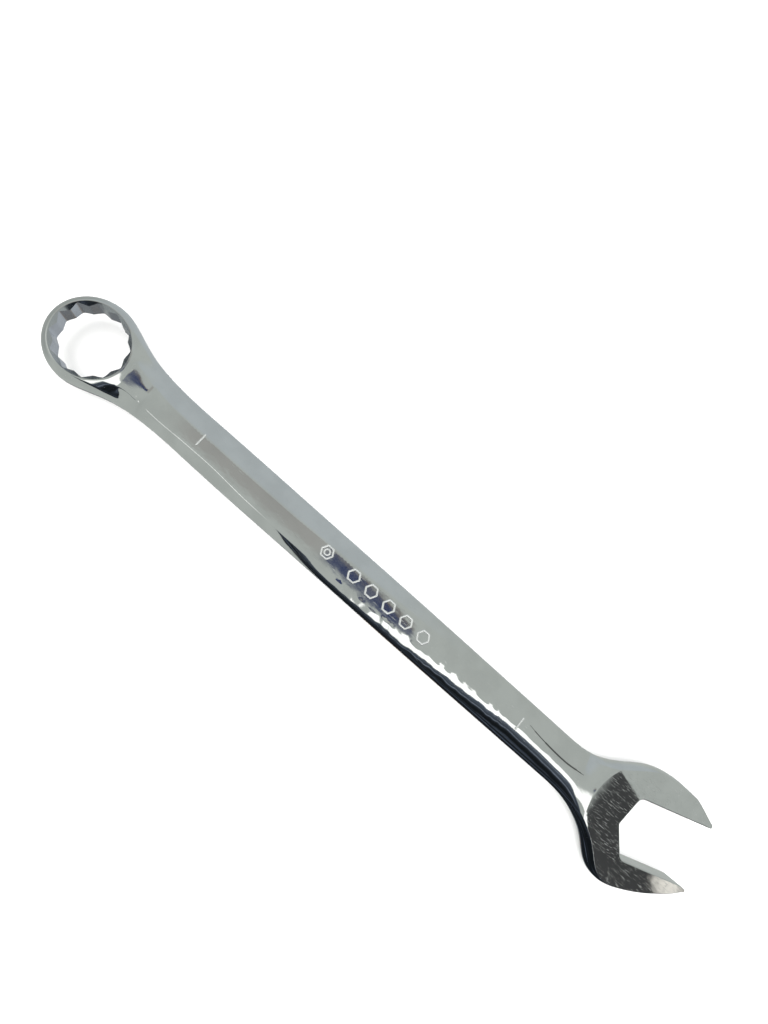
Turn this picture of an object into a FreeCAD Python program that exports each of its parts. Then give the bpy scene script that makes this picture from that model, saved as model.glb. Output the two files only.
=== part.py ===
"""Combination wrench for a 1 inch nut: a 12-point box end, a long shank and an open end.

The real tool is one drop forging. Its sections are separate solids here that meet face to
face: the ring, the two necks, the shank, the throat and the two jaws. The raised marks on the
panel are further solids that stand on it.

Frame, in millimetres: the origin is the centre of the box end's opening, +X runs along the
shank to the open end, and +Z points out of the marked face. The ring is tilted about Y, so
that its far edge stands higher than the shank.
"""
import FreeCAD
import Part
import math
import os

Vector = FreeCAD.Vector

# Openings, both for the same nut
NUT_ACROSS_FLATS = 25.4
FLAT_CLEARANCE = 0.3

# Box end
RING_OUTER_RADIUS = 18.4
RING_THICKNESS = 15.4
RING_LAND_RADIUS = 15.8
RING_TILT = 12.0
RING_RISE = 3.0
CORNER_RELIEF_RADIUS = 14.7
LEAD_IN_RADIUS = 15.0
BOX_POINTS = 12

# Shank
SHANK_HALF_THICKNESS = 4.5
EDGE_RADIUS = 3.2
PANEL_EDGE_Y = 9.0
NECK_HALF_THICKNESS = 6.6
BOX_NECK_END = 62.0
OPEN_NECK_START = 240.0

# Open end
JAW_CENTRE_X = 300.0
JAW_ANGLE = 17.0
HEAD_HALF_THICKNESS = 5.9
RAMP_START = 257.0
RAMP_END = 276.0
HEAD_START = 279.0
THROAT_DEPTH = 12.4
THROAT_FACET_ANGLE = 67.5
CORNER_ROUND = 3.2
JAW_ROOT = -4.5
UPPER_BEND = (17.5, 22.2)
UPPER_TIP = (27.6, 14.4)
LOWER_TIP = (24.8, -14.4)
UPPER_TIP_ARC = [(26.7, 15.1), (27.5, 14.2), (27.2, 12.8)]
LOWER_TIP_ARC = [(23.6, -15.1), (24.4, -14.5), (24.2, -13.7)]
LOWER_FACE_END = 21.8

# Raised marks, standing on the panel
MARK_HEIGHT = 0.35
STROKE_WIDTH = 0.8
SIZE_MARK_LENGTH = 5.2
BOX_SIZE_MARK_X = 57.0
OPEN_SIZE_MARK_X = 230.0
SYMBOL_X = 124.5
ROW_START_X = 139.0
ROW_PITCH = 9.4
ROW_COUNT = 5
SYMBOL_RADIUS = 3.2

FAR = 400.0


def jaw_point(along, across):
    """A plan point given along and across the jaws, measured from their centre on the shank axis."""
    angle = math.radians(JAW_ANGLE)
    x = JAW_CENTRE_X + along * math.cos(angle) - across * math.sin(angle)
    y = along * math.sin(angle) + across * math.cos(angle)
    return Vector(x, y, 0)


def spline(points, start=None, end=None):
    """A smooth edge through the points, with end tangents if they are given."""
    curve = Part.BSplineCurve()
    if start is None:
        curve.interpolate(Points=points)
    else:
        curve.interpolate(Points=points, InitialTangent=start, FinalTangent=end)
    return curve.toShape()


def upper_side():
    """The +Y edge of the plan, from inside the ring to the bend of the upper jaw."""
    return [
        Vector(8.0, 16.6, 0),
        Vector(18.4, 13.1, 0),
        Vector(32.0, 10.7, 0),
        Vector(60.0, 10.1, 0),
        Vector(110.0, 10.25, 0),
        Vector(165.0, 10.4, 0),
        Vector(215.0, 10.2, 0),
        Vector(250.0, 10.05, 0),
        Vector(265.0, 11.2, 0),
        Vector(275.0, 15.6, 0),
        Vector(284.0, 21.4, 0),
        jaw_point(-3.0, 26.4),
        jaw_point(8.0, 25.4),
        jaw_point(*UPPER_BEND),
    ]


def lower_side():
    """The -Y edge of the plan, from inside the ring to the tip of the lower jaw."""
    return [
        Vector(8.0, -16.6, 0),
        Vector(18.4, -12.8, 0),
        Vector(32.0, -10.4, 0),
        Vector(60.0, -10.1, 0),
        Vector(110.0, -10.25, 0),
        Vector(165.0, -10.4, 0),
        Vector(215.0, -10.2, 0),
        Vector(250.0, -10.05, 0),
        Vector(265.0, -10.9, 0),
        Vector(275.0, -14.0, 0),
        Vector(283.0, -18.6, 0),
        jaw_point(-13.0, -23.5),
        jaw_point(-3.0, -24.2),
        jaw_point(7.0, -22.3),
        jaw_point(16.0, -19.2),
        jaw_point(*LOWER_TIP),
    ]


def forging_plan():
    """The outline seen from above, with the mouth still filled between the two tips."""
    upper = upper_side()
    lower = lower_side()
    tip = jaw_point(*UPPER_TIP)
    edges = [
        spline(upper),
        Part.makeLine(upper[-1], tip),
        Part.makeLine(tip, lower[-1]),
        spline(lower),
        Part.makeLine(lower[0], upper[0]),
    ]
    return Part.Face(Part.Wire(Part.__sortEdges__(edges)))


def side_profile():
    """The thickness seen from the side: thick at the ring, thin along the shank, thicker head."""
    top = [
        Vector(0, 0, NECK_HALF_THICKNESS + 0.6),
        Vector(20, 0, NECK_HALF_THICKNESS - 0.9),
        Vector(34, 0, SHANK_HALF_THICKNESS + 0.3),
        Vector(50, 0, SHANK_HALF_THICKNESS),
    ]
    ramp = [
        Vector(RAMP_START, 0, SHANK_HALF_THICKNESS),
        Vector((RAMP_START + RAMP_END) / 2, 0, (SHANK_HALF_THICKNESS + HEAD_HALF_THICKNESS) / 2),
        Vector(RAMP_END, 0, HEAD_HALF_THICKNESS),
    ]
    along = Vector(1, 0, 0)
    edges = [
        spline(top, Vector(8, 0, -1), along),
        Part.makeLine(top[-1], ramp[0]),
        spline(ramp, along, along),
        Part.makeLine(ramp[-1], Vector(FAR, 0, HEAD_HALF_THICKNESS)),
    ]
    below = [edge.mirror(Vector(0, 0, 0), Vector(0, 0, 1)) for edge in edges]
    closing = [
        Part.makeLine(Vector(0, 0, top[0].z), Vector(0, 0, -top[0].z)),
        Part.makeLine(Vector(FAR, 0, HEAD_HALF_THICKNESS), Vector(FAR, 0, -HEAD_HALF_THICKNESS)),
    ]
    return Part.Face(Part.Wire(Part.__sortEdges__(edges + below + closing)))


def is_long_edge(edge):
    """True for the edges of the plan outline above and below the middle, but not across it."""
    box = edge.BoundBox
    off_middle = box.ZMin * box.ZMax > 0
    middle = edge.valueAt((edge.FirstParameter + edge.LastParameter) / 2)
    return off_middle and box.XLength > 2.0 and abs(middle.y) > PANEL_EDGE_Y


def forging_body():
    """The whole bar from neck to jaws, before the mouth is cut, with its long edges rounded."""
    plan = forging_plan().extrude(Vector(0, 0, 4 * RING_THICKNESS))
    plan.translate(Vector(0, 0, -2 * RING_THICKNESS))
    side = side_profile().extrude(Vector(0, FAR, 0))
    side.translate(Vector(0, -FAR / 2, 0))
    bar = plan.common(side).Solids[0]
    return bar.makeFillet(EDGE_RADIUS, [edge for edge in bar.Edges if is_long_edge(edge)])


def tilted(shape):
    """Move a shape from the ring's own frame, with its axis on Z, to its place on the shank."""
    placed = shape.copy()
    placed.rotate(Vector(0, 0, 0), Vector(0, 1, 0), RING_TILT)
    placed.translate(Vector(0, 0, RING_RISE))
    return placed


def ring_blank():
    """The ring before its opening is cut: flat lands and a barrel-shaped outside."""
    half = RING_THICKNESS / 2
    low_land = Vector(RING_LAND_RADIUS, 0, -half)
    high_land = Vector(RING_LAND_RADIUS, 0, half)
    edges = [
        Part.makeLine(Vector(0, 0, -half), low_land),
        Part.Arc(low_land, Vector(RING_OUTER_RADIUS, 0, 0), high_land).toShape(),
        Part.makeLine(high_land, Vector(0, 0, half)),
        Part.makeLine(Vector(0, 0, half), Vector(0, 0, -half)),
    ]
    profile = Part.Face(Part.Wire(edges))
    return profile.revolve(Vector(0, 0, 0), Vector(0, 0, 1), 360)


def box_opening():
    """The 12-point hole: two hexagons a step apart, with relieved corners and lead-ins."""
    half = RING_THICKNESS / 2
    flat = (NUT_ACROSS_FLATS + FLAT_CLEARANCE) / 2
    corner = flat / math.cos(math.pi / 6)
    inner = flat / math.cos(math.pi / BOX_POINTS)
    points = []
    for index in range(2 * BOX_POINTS):
        radius = corner if index % 2 == 0 else inner
        angle = index * math.pi / BOX_POINTS
        points.append(Vector(radius * math.cos(angle), radius * math.sin(angle), -RING_THICKNESS))
    star = Part.Face(Part.makePolygon(points + points[:1])).extrude(Vector(0, 0, 2 * RING_THICKNESS))
    relief = Part.makeCylinder(CORNER_RELIEF_RADIUS, 2 * RING_THICKNESS, Vector(0, 0, -RING_THICKNESS))
    depth = LEAD_IN_RADIUS - inner
    top = Part.makeCone(inner, LEAD_IN_RADIUS + depth, 2 * depth, Vector(0, 0, half - depth))
    bottom = top.mirror(Vector(0, 0, 0), Vector(0, 0, 1))
    return star.common(relief).fuse([top, bottom])


def corner_arc(before, corner, after, radius):
    """Start, middle and end of the arc that rounds one corner of a plan outline."""
    back = (before - corner).normalize()
    ahead = (after - corner).normalize()
    half_angle = back.getAngle(ahead) / 2
    reach = radius / math.tan(half_angle)
    towards_middle = (back + ahead).normalize()
    gap = radius / math.sin(half_angle) - radius
    return [corner + back * reach, corner + towards_middle * gap, corner + ahead * reach]


def mouth():
    """The open end's slot: parallel jaw faces, a two-facet throat and a bevel at the lower tip."""
    half = (NUT_ACROSS_FLATS + FLAT_CLEARANCE) / 2
    root = half / math.tan(math.radians(THROAT_FACET_ANGLE)) - THROAT_DEPTH
    apex = jaw_point(-THROAT_DEPTH, 0)
    upper_far = jaw_point(FAR, half)
    bevel_start = jaw_point(LOWER_FACE_END, -half)
    bevel_end = jaw_point(*LOWER_TIP_ARC[-1])
    lower_far = jaw_point(FAR, LOWER_TIP_ARC[-1][1])
    upper_arc = corner_arc(apex, jaw_point(root, half), upper_far, CORNER_ROUND)
    lower_arc = corner_arc(apex, jaw_point(root, -half), bevel_start, CORNER_ROUND)
    lines = [
        (apex, upper_arc[0]),
        (upper_arc[-1], upper_far),
        (upper_far, lower_far),
        (lower_far, bevel_end),
        (bevel_end, bevel_start),
        (bevel_start, lower_arc[-1]),
        (lower_arc[0], apex),
    ]
    edges = [Part.makeLine(start, end) for start, end in lines]
    edges += [Part.Arc(*upper_arc).toShape(), Part.Arc(*lower_arc).toShape()]
    slot = Part.Face(Part.Wire(Part.__sortEdges__(edges))).extrude(Vector(0, 0, FAR))
    slot.translate(Vector(0, 0, -FAR / 2))
    return slot


def rounded_tips():
    """A wide block whose front follows the rounded tips of the two jaws."""
    upper_arc = [jaw_point(*point) for point in UPPER_TIP_ARC]
    lower_arc = [jaw_point(*point) for point in LOWER_TIP_ARC]
    around = [
        lower_arc[0],
        jaw_point(0, -2 * NUT_ACROSS_FLATS),
        jaw_point(-FAR, -2 * NUT_ACROSS_FLATS),
        jaw_point(-FAR, 2 * NUT_ACROSS_FLATS),
        jaw_point(0, 2 * NUT_ACROSS_FLATS),
        upper_arc[0],
    ]
    edges = [Part.makeLine(start, end) for start, end in zip(around, around[1:])]
    edges += [
        Part.Arc(*upper_arc).toShape(),
        Part.makeLine(upper_arc[-1], lower_arc[-1]),
        Part.Arc(*lower_arc).toShape(),
    ]
    block = Part.Face(Part.Wire(Part.__sortEdges__(edges))).extrude(Vector(0, 0, FAR))
    block.translate(Vector(0, 0, -FAR / 2))
    return block


def slab(x_from, x_to):
    """A block that holds everything between two stations along the shank."""
    return Part.makeBox(x_to - x_from, FAR, FAR, Vector(x_from, -FAR / 2, -FAR / 2))


def jaw_block(along, across):
    """A block in line with the jaws, between two distances along them and two across them."""
    points = [
        jaw_point(along[0], across[0]),
        jaw_point(along[1], across[0]),
        jaw_point(along[1], across[1]),
        jaw_point(along[0], across[1]),
    ]
    block = Part.Face(Part.makePolygon(points + points[:1])).extrude(Vector(0, 0, FAR))
    block.translate(Vector(0, 0, -FAR / 2))
    return block


def stroke(start, end):
    """One raised stroke on the panel: a low bar with round ends and a softened top."""
    radius = STROKE_WIDTH / 2
    run = end - start
    base = Vector(start.x, start.y, SHANK_HALF_THICKNESS)
    caps = [Part.makeCylinder(radius, MARK_HEIGHT, base), Part.makeCylinder(radius, MARK_HEIGHT, base + run)]
    bar = Part.makeBox(run.Length, STROKE_WIDTH, MARK_HEIGHT, base - Vector(0, radius, 0))
    bar.rotate(base, Vector(0, 0, 1), math.degrees(math.atan2(run.y, run.x)))
    return bar.fuse(caps).removeSplitter()


def size_mark(x):
    """The raised figure 1 of the nut size, a plain stroke across the panel."""
    half = SIZE_MARK_LENGTH / 2
    return stroke(Vector(x, -half, 0), Vector(x, half, 0))


def hexagon_outline(x, radius):
    """A raised outline of a hexagon, centred on the panel."""
    base = Vector(x, 0, SHANK_HALF_THICKNESS)
    outlines = []
    for size in (radius, radius - STROKE_WIDTH):
        points = [base + Vector(size * math.cos(math.radians(60 * k)),
                                size * math.sin(math.radians(60 * k)), 0) for k in range(7)]
        outlines.append(Part.Face(Part.makePolygon(points)).extrude(Vector(0, 0, MARK_HEIGHT)))
    return outlines[0].cut(outlines[1])


def nut_symbol():
    """A plain nut seen from above: a hexagon outline with a ring inside it."""
    base = Vector(SYMBOL_X, 0, SHANK_HALF_THICKNESS)
    hexagon = hexagon_outline(SYMBOL_X, SYMBOL_RADIUS)
    outer = Part.makeCylinder(SYMBOL_RADIUS / 2, MARK_HEIGHT, base)
    inner = Part.makeCylinder(SYMBOL_RADIUS / 2 - STROKE_WIDTH, MARK_HEIGHT, base)
    return Part.makeCompound([hexagon, outer.cut(inner)])


def hexagon_row():
    """The row of plain hexagon outlines along the middle of the panel."""
    places = [ROW_START_X + ROW_PITCH * index for index in range(ROW_COUNT)]
    return Part.makeCompound([hexagon_outline(x, SYMBOL_RADIUS) for x in places])


def box_end_neck(body):
    """The flared neck, which meets the ring's barrel and stays off its flat lands."""
    column = Part.makeCylinder(RING_LAND_RADIUS, FAR, Vector(0, 0, -FAR / 2))
    return body.common(slab(0, BOX_NECK_END)).cut(tilted(ring_blank())).cut(tilted(column))


def build_nodes():
    """Every sub-part by name, still measured from the shank's middle plane."""
    body = forging_body()
    head = body.common(slab(HEAD_START, FAR)).common(rounded_tips()).cut(mouth())
    return {
        "box_end_ring": tilted(ring_blank().cut(box_opening())),
        "box_end_neck": box_end_neck(body),
        "shank": body.common(slab(BOX_NECK_END, OPEN_NECK_START)),
        "open_end_neck": body.common(slab(OPEN_NECK_START, HEAD_START)),
        "open_end_throat": head.common(jaw_block((-FAR, JAW_ROOT), (-FAR, FAR))),
        "upper_jaw": head.common(jaw_block((JAW_ROOT, FAR), (0, FAR))),
        "lower_jaw": head.common(jaw_block((JAW_ROOT, FAR), (-FAR, 0))),
        "box_size_mark": size_mark(BOX_SIZE_MARK_X),
        "open_size_mark": size_mark(OPEN_SIZE_MARK_X),
        "nut_symbol": nut_symbol(),
        "hexagon_row": hexagon_row(),
    }


def main():
    """Write one STEP file for each sub-part, with the origin at the box end's opening."""
    os.makedirs("parts", exist_ok=True)
    for name, shape in build_nodes().items():
        solids = [solid.copy() for solid in shape.Solids]
        node = solids[0] if len(solids) == 1 else Part.makeCompound(solids)
        node.translate(Vector(0, 0, -RING_RISE))
        node.exportStep(os.path.join("parts", name + ".step"))
        print(name, len(solids), "solids", round(node.Volume), "mm3", "valid", node.isValid())


main()
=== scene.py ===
"""Looks of the combination wrench: one continuous chrome forging, with its raised marks.

Shapes are worked out in millimetres in the shank's own frame, where z = 0 is the middle plane,
and go into the row frame, in metres, at the end. The forging is drawn flat first, as an outline
and a height for each point of its plan, and then the box end is bent up to its tilt.
"""

import math

import bpy
import numpy as np
from mathutils import Matrix, Vector
from mathutils.geometry import delaunay_2d_cdt


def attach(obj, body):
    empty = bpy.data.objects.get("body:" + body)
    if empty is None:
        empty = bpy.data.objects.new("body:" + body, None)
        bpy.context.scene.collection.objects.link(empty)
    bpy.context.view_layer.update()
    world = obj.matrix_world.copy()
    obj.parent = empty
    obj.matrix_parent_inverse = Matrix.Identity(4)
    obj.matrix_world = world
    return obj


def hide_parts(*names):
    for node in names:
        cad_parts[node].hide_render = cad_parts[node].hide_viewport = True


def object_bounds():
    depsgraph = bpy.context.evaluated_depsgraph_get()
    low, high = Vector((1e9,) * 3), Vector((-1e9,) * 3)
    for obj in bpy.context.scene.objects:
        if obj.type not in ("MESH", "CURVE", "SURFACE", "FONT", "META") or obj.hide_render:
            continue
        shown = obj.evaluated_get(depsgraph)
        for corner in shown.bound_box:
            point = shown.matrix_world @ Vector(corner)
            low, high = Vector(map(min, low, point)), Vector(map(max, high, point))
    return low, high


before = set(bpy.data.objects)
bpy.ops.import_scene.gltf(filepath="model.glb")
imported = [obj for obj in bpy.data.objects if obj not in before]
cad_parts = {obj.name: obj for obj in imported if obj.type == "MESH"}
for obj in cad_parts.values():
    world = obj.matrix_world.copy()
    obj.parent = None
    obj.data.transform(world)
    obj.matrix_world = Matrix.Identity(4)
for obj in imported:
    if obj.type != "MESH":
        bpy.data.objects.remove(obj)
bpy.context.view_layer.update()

MM = 0.001

# Box end
RING_RADIUS = 18.37
RING_HALF = 7.6
LAND_RADIUS = 15.8
LEAD_IN_RADIUS = 15.0
RELIEF_RADIUS = 14.7
FLAT = 12.85
BOX_POINTS = 12
RING_TILT = math.radians(12.0)
RING_RISE = 3.0
BEND_START = 16.0
BEND_END = 34.0

# Shank and open end
PANEL = 4.5
HEAD = 5.9
JAW_CENTRE = np.array([300.0, 0.0])
JAW_ANGLE = math.radians(17.0)
FACE_RADIUS = 28.0
RAMP = 15.0
FLANK_DROP = 2.1
CROWN = 0.095
THROAT_DEPTH = 12.4
FACET_ANGLE = math.radians(67.5)
CORNER_ROUND = 3.2

# Where along the shank a feature comes in or fades out: its first and last x
FLANK_START = (7, 24)
CREASE_SOFTENS = (45, 80)
CREASE_SHARPENS = (215, 235)
UPPER_ROUNDS = (100, 140)
LOWER_ROUNDS = (98, 135)
UPPER_FLANK_END = (263, 269)
LOWER_FLANK_END = (264, 288)
GRINDING_START = (118, 150)
GRINDING_CALMS = (215, 240)
GRINDING_END = (240, 275)
# The strip of painted shade in the +Y crease comes in and fades out here
CREASE_SHADE_START = (228, 250)
CREASE_SHADE_END = (258, 267)
RING_BARREL_END = (8, 26)

# The flanks: the margin left for the rim, and their least width; how soft the crease above them is
# on the +Y side, how much softer it is there along the shank, and how soft it is on the -Y side;
# and how far the +Y flank turns from a flat one to a round one
RIM_MARGIN = 2.0
LEAST_FLANK = 3.2
UPPER_CREASE = 0.7
SHANK_CREASE = 0.9
LOWER_CREASE = 0.6
UPPER_ROUNDNESS = 0.25

# Hand grinding: its depth, and how much less it is near the open end
GRINDING_DEPTH = 0.03
GRINDING_CALM = 0.018

# Half-width of the dark strip of painted shade along the +Y crease near the open end
CREASE_SHADE_HALF_WIDTH = 0.36

# The neck's crown across its middle, and the half-width that it spans, squared
NECK_CROWN = 0.006
CROWN_SPAN = 16

# The mesh: spacing of the outline's points, and of the points between, on the shank and at the two
# ends; spacing of guide points; samples across the side; and steps per millimetre when welding
SHANK_SPAN = (45, 228)
SHANK_STEP, END_STEP = 0.9, 0.45
SHANK_GRID, END_GRID = 1.0, 0.75
GUIDE_GAP = 0.17
SIDE_SAMPLES = 60
WELDS_PER_MM = 2000

# The raised marks: where each one is, and its size
BOX_FIGURE_X = 57.0
OPEN_FIGURE_X = 230.0
FIGURE_HALF = 3.0
SYMBOL_X = 124.5
SYMBOL_HOLE = 1.2
HEXAGONS_START = 139.0
HEXAGON_PITCH = 9.4
HEXAGON_COUNT = 5
HEXAGON_RADIUS = 2.8

# A bead's size, and its top from side to side as parts of its half-width and its rise
BEAD_HALF_WIDTH = 0.45
BEAD_RISE = 0.35
BEAD_SINK = 0.15
BEAD_TOP = [(-0.97, 0.30), (-0.75, 0.75), (-0.4, 0.95), (0.0, 1.0), (0.4, 0.95), (0.75, 0.75), (0.97, 0.30)]
BEAD_END_WIDTH = 0.08

# Half-widths of the flat panel on its two sides, by distance from the box end's centre
PANEL_UPPER = [(8, 9.6), (16, 7.6), (25, 4.9), (38, 2.7), (52, 2.7), (70, 3.0), (105, 3.3), (135, 4.3),
               (150, 5.0), (195, 6.6), (214, 6.2), (227, 4.0), (235, 2.0), (246, 0.9), (256, 0.5),
               (266, 1.9)]
PANEL_LOWER = [(8, 9.6), (16, 7.4), (22, 5.2), (38, 6.2), (52, 5.7), (68, 5.6), (84, 6.6), (105, 6.9),
               (123, 6.3), (155, 5.4), (173, 4.8), (195, 3.4), (210, 2.8), (230, 1.4), (250, 1.9),
               (262, 2.6), (270, 5.6), (275, 9.5), (280, 15.5), (290, 26.0)]
# The outline's half-widths on its two sides, roughly
UPPER_HALF = [(0, 17.5), (10, 16.2), (18.4, 12.9), (32, 10.6), (60, 10.1), (250, 10.1), (265, 11.2),
              (275, 15.0)]
LOWER_HALF = [(0, 17.5), (10, 16.2), (18.4, 12.9), (32, 10.5), (60, 10.1), (250, 10.1), (265, 10.9),
              (275, 14.0), (283, 18.6), (290, 28.0)]

# Slope of the neck's top, by distance from the box end's centre, the dip below the panel that it
# ends in, and where it and the dip end
NECK_SLOPES = [(15.8, 0.14), (19.2, 0.24), (19.4, 0.15), (21.4, 0.213), (23.2, 0.259), (25.0, 0.290),
               (27.0, 0.303), (28.6, 0.304), (30.2, 0.0)]
NECK_DIP = 0.4
NECK_END = 30.5
DIP_END = 78.0


def jaw_point(along, across):
    """A plan point given along and across the jaws, from their centre on the shank's axis."""
    turn_cos, turn_sin = math.cos(JAW_ANGLE), math.sin(JAW_ANGLE)
    x = JAW_CENTRE[0] + along * turn_cos - across * turn_sin
    y = JAW_CENTRE[1] + along * turn_sin + across * turn_cos
    return np.array([x, y])


def along_polyline(points):
    """Distance travelled at each point of a polyline."""
    steps = np.hypot(*np.diff(points, axis=0).T)
    return np.concatenate([[0.0], np.cumsum(steps)])


def curve_through(points, step):
    """A natural cubic curve through the points, sampled every step."""
    points = np.array(points, float)
    knots = along_polyline(points)
    gaps = np.diff(knots)
    count = len(points)
    system = np.eye(count)
    right = np.zeros((count, 2))
    for i in range(1, count - 1):
        system[i, i - 1:i + 2] = gaps[i - 1], 2 * (gaps[i - 1] + gaps[i]), gaps[i]
        slopes = (points[i + 1] - points[i]) / gaps[i] - (points[i] - points[i - 1]) / gaps[i - 1]
        right[i] = 6 * slopes
    second = np.linalg.solve(system, right)
    where = np.linspace(0, knots[-1], int(knots[-1] / step) + 1)
    i = np.clip(np.searchsorted(knots, where, side="right") - 1, 0, count - 2)
    gap = gaps[i][:, None]
    ahead = (where - knots[i])[:, None]
    back = gap - ahead
    cubic = (second[i] * back ** 3 + second[i + 1] * ahead ** 3) / (6 * gap)
    straight = (points[i] / gap - second[i] * gap / 6) * back
    straight += (points[i + 1] / gap - second[i + 1] * gap / 6) * ahead
    return cubic + straight


def straight_to(start, end, step):
    """Points on a straight line."""
    count = max(2, int(np.hypot(*(end - start)) / step))
    return start + (end - start) * np.linspace(0, 1, count)[:, None]


def arc_through(start, middle, end, step):
    """Points on the circular arc through three points."""
    sides = 2 * np.array([middle - start, end - start])
    squares = np.array([middle @ middle - start @ start, end @ end - start @ start])
    centre = np.linalg.solve(sides, squares)
    first, mid, last = [math.atan2(*(p - centre)[::-1]) for p in (start, middle, end)]
    sweep = (last - first) % (2 * math.pi)
    if (mid - first) % (2 * math.pi) > sweep:
        sweep -= 2 * math.pi
    radius = np.hypot(*(start - centre))
    angles = first + sweep * np.linspace(0, 1, max(4, int(abs(sweep) * radius / step)))
    return centre + radius * np.column_stack([np.cos(angles), np.sin(angles)])


def rounded_corner(before, corner, after, radius, step):
    """The arc that rounds one corner of an outline."""
    back = (before - corner) / np.hypot(*(before - corner))
    ahead = (after - corner) / np.hypot(*(after - corner))
    half_angle = math.acos(back @ ahead) / 2
    reach = radius / math.tan(half_angle)
    inward = (back + ahead) / np.hypot(*(back + ahead))
    gap = radius / math.sin(half_angle) - radius
    return arc_through(corner + back * reach, corner + inward * gap, corner + ahead * reach, step)


def outside_points():
    """The plan outline from the upper jaw's bend, round the ring, to the lower jaw's tip."""
    upper = [jaw_point(17.5, 22.2), jaw_point(8.0, 25.4), jaw_point(-3.0, 26.4), (284.0, 21.4),
             (275.0, 15.6), (265.0, 11.2), (250.0, 10.05), (215.0, 10.2), (165.0, 10.4),
             (110.0, 10.25), (60.0, 10.1), (32.0, 10.7), (18.4, 13.1)]
    ring = [(RING_RADIUS * math.cos(math.radians(a)), RING_RADIUS * math.sin(math.radians(a)))
            for a in np.linspace(70, 290, 19)]
    lower = [(18.4, -12.8), (32.0, -10.4), (60.0, -10.1), (110.0, -10.25), (165.0, -10.4),
             (215.0, -10.2), (250.0, -10.05), (265.0, -10.9), (275.0, -14.0), (283.0, -18.6),
             jaw_point(-13.0, -23.5), jaw_point(-3.0, -24.2), jaw_point(7.0, -22.3),
             jaw_point(16.0, -19.2), jaw_point(23.6, -15.1)]
    return upper + ring + lower


def outline():
    """The closed outline, anticlockwise, and how far each point belongs to the mouth's walls."""
    step = 0.1
    root = FLAT / math.tan(FACET_ANGLE) - THROAT_DEPTH
    apex = jaw_point(-THROAT_DEPTH, 0)
    lower_bend, upper_bend = jaw_point(root, -FLAT), jaw_point(root, FLAT)
    bevel, upper_inner = jaw_point(21.8, -FLAT), jaw_point(27.2, 12.8)
    lower_corner = rounded_corner(bevel, lower_bend, apex, CORNER_ROUND, step)
    upper_corner = rounded_corner(apex, upper_bend, upper_inner, CORNER_ROUND, step)
    lower_tip = arc_through(jaw_point(23.6, -15.1), jaw_point(24.4, -14.5), jaw_point(24.2, -13.7), step)
    upper_tip = arc_through(upper_inner, jaw_point(27.5, 14.2), jaw_point(26.7, 15.1), step)
    parts = [
        (curve_through(outside_points(), step), 0.0),
        (lower_tip, 0.4),
        (straight_to(lower_tip[-1], bevel, step), 1.0),
        (straight_to(bevel, lower_corner[0], step), 1.0),
        (lower_corner, 1.0),
        (straight_to(lower_corner[-1], apex, step), 1.0),
        (straight_to(apex, upper_corner[0], step), 1.0),
        (upper_corner, 1.0),
        (straight_to(upper_corner[-1], upper_inner, step), 1.0),
        (upper_tip, 0.4),
        (straight_to(upper_tip[-1], jaw_point(17.5, 22.2), step), 0.0),
    ]
    points = np.concatenate([p[:-1] for p, _ in parts])
    wall = np.concatenate([np.full(len(p) - 1, w) for p, w in parts])
    return points, wall


def blurred(values, spread):
    """Values round a closed loop, each averaged with its neighbours by a bell of that spread."""
    reach = int(4 * spread)
    bell = np.exp(-0.5 * (np.arange(-reach, reach + 1) / spread) ** 2)
    wrapped = np.concatenate([values[-reach:], values, values[:reach]])
    return np.convolve(wrapped, bell / bell.sum(), mode="valid")


def sampled_outline():
    """The outline with its kinks softened, at the spacing that the mesh uses."""
    points, wall = outline()
    kink_blur, wall_blur = 2.2, 9.0
    points = np.column_stack([blurred(points[:, 0], kink_blur), blurred(points[:, 1], kink_blur)])
    wall = blurred(wall, wall_blur)
    along = along_polyline(np.vstack([points, points[:1]]))
    x = points[:, 0]
    spacing = np.where((x > SHANK_SPAN[0]) & (x < SHANK_SPAN[1]), SHANK_STEP, END_STEP)
    count = np.concatenate([[0.0], np.cumsum(np.diff(along) / spacing)])
    total = int(count[-1])
    where = np.interp(np.arange(total) * count[-1] / total, count, along)
    closed = np.vstack([points, points[:1]])
    closed_wall = np.append(wall, wall[0])
    plan = np.column_stack([np.interp(where, along, closed[:, k]) for k in range(2)])
    return plan, np.interp(where, along, closed_wall)


def soft_table(pairs, blur):
    """A table's values on a fine scale, with its corners softened over a distance."""
    scale = np.arange(-40.0, 400.0, 0.5)
    values = np.interp(scale, *np.array(pairs, float).T)
    reach = int(6 * blur)
    bell = np.exp(-0.5 * (np.arange(-reach, reach + 1) * 0.5 / blur) ** 2)
    padded = np.pad(values, reach, mode="edge")
    return scale, np.convolve(padded, bell / bell.sum(), mode="valid")


def soft_step(x, start, end):
    """0 before start, 1 after end, and smooth between."""
    t = np.clip((x - start) / (end - start), 0, 1)
    return t * t * (3 - 2 * t)


def neck_table():
    """How high the neck's top is above the panel, by distance from the box end's centre."""
    scale = np.arange(LAND_RADIUS, NECK_END, 0.05)
    fallen = np.cumsum(np.interp(scale, *np.array(NECK_SLOPES).T))
    ring_above_panel = RING_HALF - PANEL
    level = ring_above_panel - (ring_above_panel + NECK_DIP) * fallen / fallen[-1]
    beyond = np.arange(NECK_END, DIP_END + 2.0, 0.5)
    scale = np.concatenate([scale, beyond])
    return scale, np.concatenate([level, -NECK_DIP * (1 - soft_step(beyond, NECK_END, DIP_END))])


NECK_TABLE = neck_table()
UPPER_TABLE = soft_table(PANEL_UPPER, 3.0)
LOWER_TABLE = soft_table(PANEL_LOWER, 3.0)
UPPER_WIDTH = soft_table(UPPER_HALF, 2.0)
LOWER_WIDTH = soft_table(LOWER_HALF, 2.0)


def by_side(x, y, upper, lower):
    """A table's value at x, taken from the +Y side's table or the -Y side's."""
    return np.where(y > 0, np.interp(x, *upper), np.interp(x, *lower))


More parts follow.
